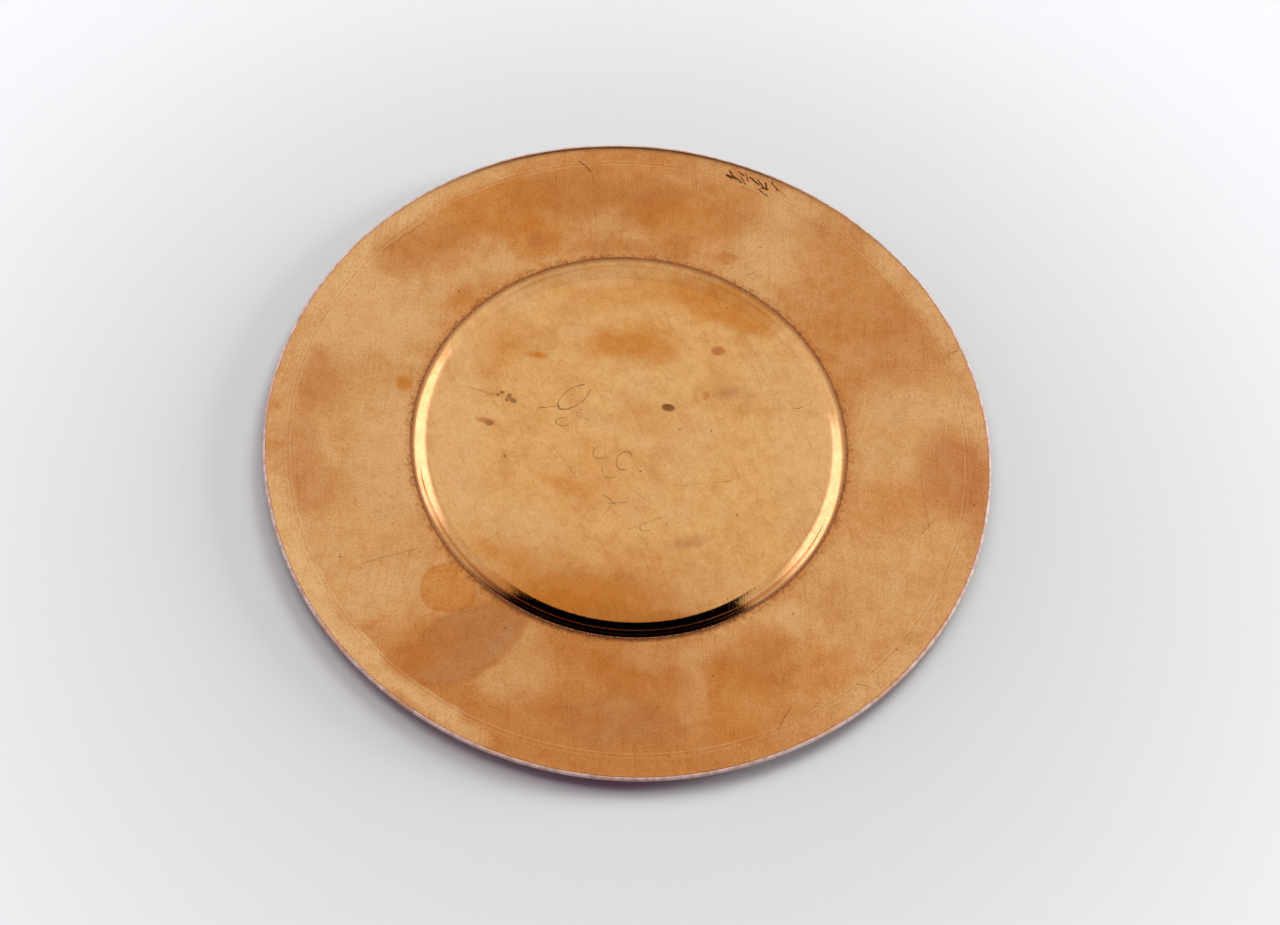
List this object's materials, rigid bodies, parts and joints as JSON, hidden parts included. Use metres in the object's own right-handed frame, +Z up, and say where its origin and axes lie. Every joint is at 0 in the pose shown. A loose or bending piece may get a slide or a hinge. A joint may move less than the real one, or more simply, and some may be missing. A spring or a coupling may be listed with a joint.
{
  "type": "paten plate",
  "caption": "Thin round gilt plate with a broad flat rim, a shallow flat-floored well and a bare wire edge, for holding altar bread.",
  "frame": {"origin": "middle of the flat face under the well, which the plate rests on", "axes": "+Z up through the middle of the plate, towards its open side; +X and +Y lie in the rest face, and the plate is round, so they may point any way"},
  "size_m": [0.15, 0.15, 0.0033],
  "materials": {
    "gilt_sheet": "gilt sheet silver, rubbed satin with a blotchy brown and orange patina",
    "gilt_strip": "gilt strip, a little paler and cleaner than the sheet beside it",
    "bare_silver": "bare silver wire, rubbed bright, with a faint pink tarnish",
    "dark_solder": "old solder, dark and crumbly, with wax and polish caught in it"
  },
  "bodies": {
    "root": {"well_pan": "gilt_sheet", "rim_flange": "gilt_sheet", "border_band": "gilt_strip", "edge_wire": "bare_silver", "well_solder": "dark_solder", "border_solder": "dark_solder", "edge_solder": "dark_solder"}
  },
  "joints": []
}
